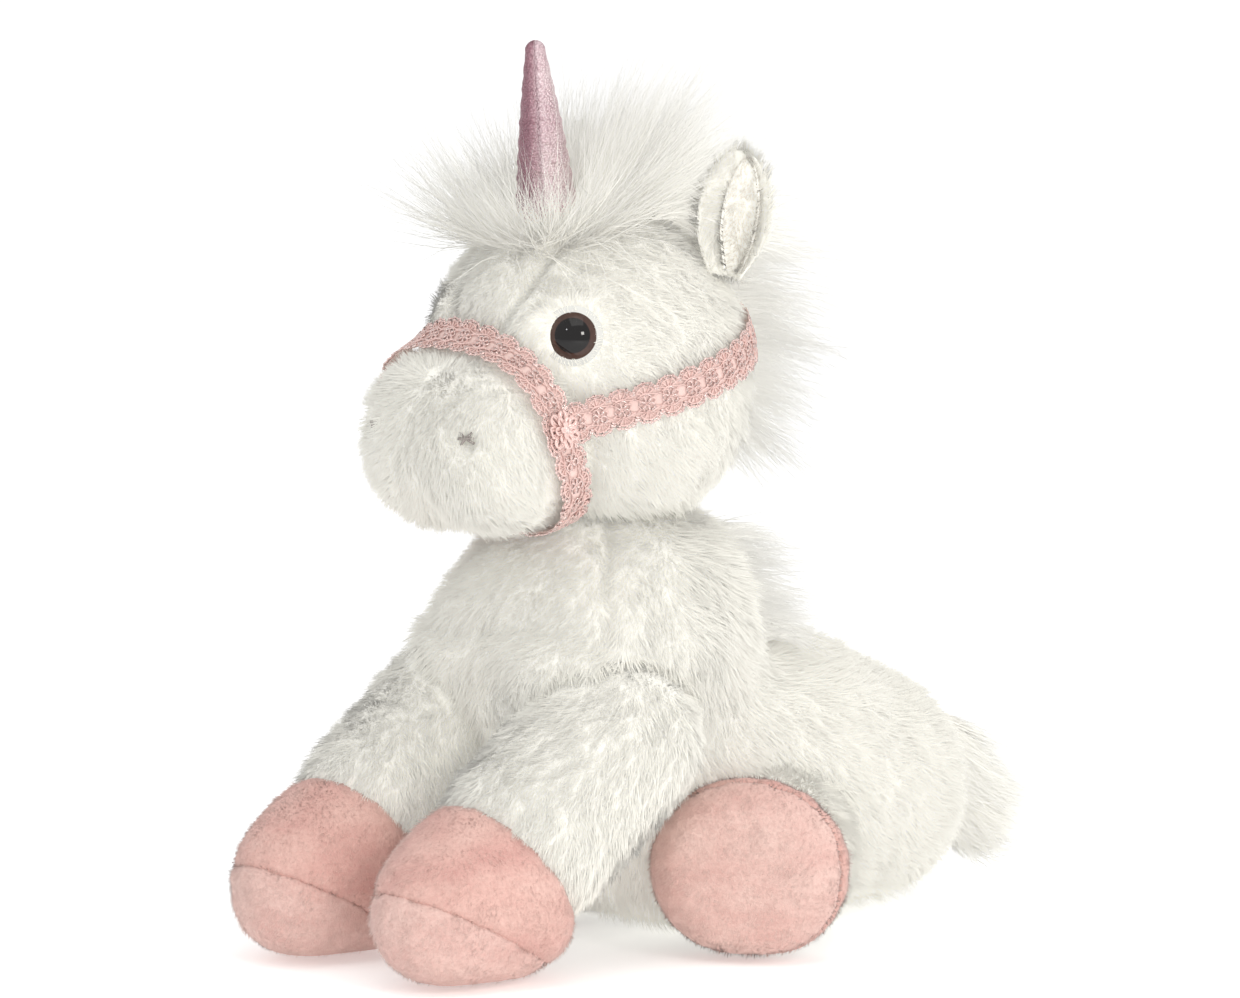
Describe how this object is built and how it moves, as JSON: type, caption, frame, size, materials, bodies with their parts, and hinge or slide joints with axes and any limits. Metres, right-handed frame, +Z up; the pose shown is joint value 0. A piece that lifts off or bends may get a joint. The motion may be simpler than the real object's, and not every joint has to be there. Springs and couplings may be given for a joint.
{
  "type": "plush unicorn",
  "caption": "Sitting stuffed toy unicorn with a pink foil horn, pink velour hooves and a lace halter; soft, sprung head, ears, legs and tail that flex at their seams.",
  "frame": {"origin": "middle of the bounding box, on the surface that the toy sits on", "axes": "the toy faces -Y, its left side is +X, +Z is up"},
  "size_m": [0.157, 0.274, 0.2725],
  "materials": {
    "white_plush": "white short-pile plush, soft and slightly clumped",
    "long_pile": "white long-pile faux fur, wispy at the tips",
    "lining": "smooth white short velour",
    "pink_velour": "pink velour, very short pile",
    "sole_velour": "pink velour with a lighter brushed pile",
    "lace": "pink crochet lace with a glitter thread",
    "horn_foil": "pink metallic foil fabric, fine woven grain",
    "eye_plastic": "glossy two-colour moulded plastic, brown ring and black pupil",
    "washer_plastic": "natural white polyethylene",
    "thread": "grey-white embroidery thread",
    "fibre_filling": "white polyester fibre",
    "bean_pouch": "thin woven pouch filled with plastic pellets"
  },
  "bodies": {
    "torso": {"back_panel_left": "white_plush", "back_panel_right": "white_plush", "chest_panel": "white_plush", "belly_panel": "white_plush", "barrel_stuffing": "fibre_filling", "chest_stuffing": "fibre_filling", "seat_bean_bag": "bean_pouch", "neck_mane": "long_pile"},
    "neck": {"neck_wad": "fibre_filling"},
    "head": {"head_side_left": "white_plush", "head_side_right": "white_plush", "forehead_gusset": "white_plush", "muzzle_cover": "white_plush", "head_stuffing": "fibre_filling", "muzzle_stuffing": "fibre_filling", "forelock": "long_pile", "head_mane": "long_pile", "eye_left": "eye_plastic", "eye_right": "eye_plastic", "eye_washer_left": "washer_plastic", "eye_washer_right": "washer_plastic", "nostril_stitches": "thread", "lace_noseband": "lace", "lace_chin_strap": "lace", "lace_cheek_strap_left": "lace", "lace_cheek_strap_right": "lace", "rosette_left": "lace", "rosette_right": "lace"},
    "horn": {"horn_cover": "horn_foil", "horn_stuffing": "fibre_filling"},
    "ear_left": {"ear_left": "white_plush", "ear_lining_left": "lining"},
    "ear_right": {"ear_right": "white_plush", "ear_lining_right": "lining"},
    "tail": {"tail_pile": "long_pile", "tail_backing": "lining"},
    "front_leg_left": {"front_sleeve_left": "white_plush", "front_hoof_cuff_left": "pink_velour", "front_sole_left": "sole_velour", "front_stuffing_left": "fibre_filling", "front_bean_bag_left": "bean_pouch"},
    "hind_leg_left": {"hind_sleeve_left": "white_plush", "hind_hoof_rim_left": "pink_velour", "hind_sole_left": "sole_velour", "hind_stuffing_left": "fibre_filling", "hind_bean_bag_left": "bean_pouch"},
    "front_leg_right": {"front_sleeve_right": "white_plush", "front_hoof_cuff_right": "pink_velour", "front_sole_right": "sole_velour", "front_stuffing_right": "fibre_filling", "front_bean_bag_right": "bean_pouch"},
    "hind_leg_right": {"hind_sleeve_right": "white_plush", "hind_hoof_rim_right": "pink_velour", "hind_sole_right": "sole_velour", "hind_stuffing_right": "fibre_filling", "hind_bean_bag_right": "bean_pouch"}
  },
  "joints": [
    {"name": "head_turn", "type": "hinge", "parent": "torso", "child": "neck", "pos_m": [0, -0.031, 0.098], "axis": [0, 0, 1], "range_deg": [-30, 30], "stiffness_Nm_per_rad": 0.5},
    {"name": "head_nod", "type": "hinge", "parent": "neck", "child": "head", "pos_m": [0, -0.031, 0.098], "axis": [1, 0, 0], "range_deg": [-12, 14], "stiffness_Nm_per_rad": 1.2},
    {"name": "horn_flex", "type": "hinge", "parent": "head", "child": "horn", "pos_m": [0, -0.048, 0.221], "axis": [1, 0, 0], "range_deg": [-8, 8], "stiffness_Nm_per_rad": 0.05},
    {"name": "ear_fold_left", "type": "hinge", "parent": "head", "child": "ear_left", "pos_m": [0.0355, -0.009, 0.2035], "axis": [0.6691, 0.7431, 0], "range_deg": [-20, 25], "stiffness_Nm_per_rad": 0.02},
    {"name": "front_leg_lift_left", "type": "hinge", "parent": "torso", "child": "front_leg_left", "pos_m": [0.035, -0.051, 0.068], "axis": [-1, 0, 0], "range_deg": [0, 30], "stiffness_Nm_per_rad": 0.5},
    {"name": "hind_leg_splay_left", "type": "hinge", "parent": "torso", "child": "hind_leg_left", "pos_m": [0.03, 0.014, 0.028], "axis": [0, 0, 1], "range_deg": [0, 12], "stiffness_Nm_per_rad": 0.5},
    {"name": "ear_fold_right", "type": "hinge", "parent": "head", "child": "ear_right", "pos_m": [-0.0355, -0.009, 0.2035], "axis": [0.6691, -0.7431, 0], "range_deg": [-20, 25], "stiffness_Nm_per_rad": 0.02},
    {"name": "front_leg_lift_right", "type": "hinge", "parent": "torso", "child": "front_leg_right", "pos_m": [-0.035, -0.051, 0.068], "axis": [-1, 0, 0], "range_deg": [0, 30], "stiffness_Nm_per_rad": 0.5},
    {"name": "hind_leg_splay_right", "type": "hinge", "parent": "torso", "child": "hind_leg_right", "pos_m": [-0.03, 0.014, 0.028], "axis": [0, 0, -1], "range_deg": [0, 12], "stiffness_Nm_per_rad": 0.5},
    {"name": "tail_lift", "type": "hinge", "parent": "torso", "child": "tail", "pos_m": [0, 0.101, 0.046], "axis": [1, 0, 0], "range_deg": [0, 30], "stiffness_Nm_per_rad": 0.05}
  ]
}
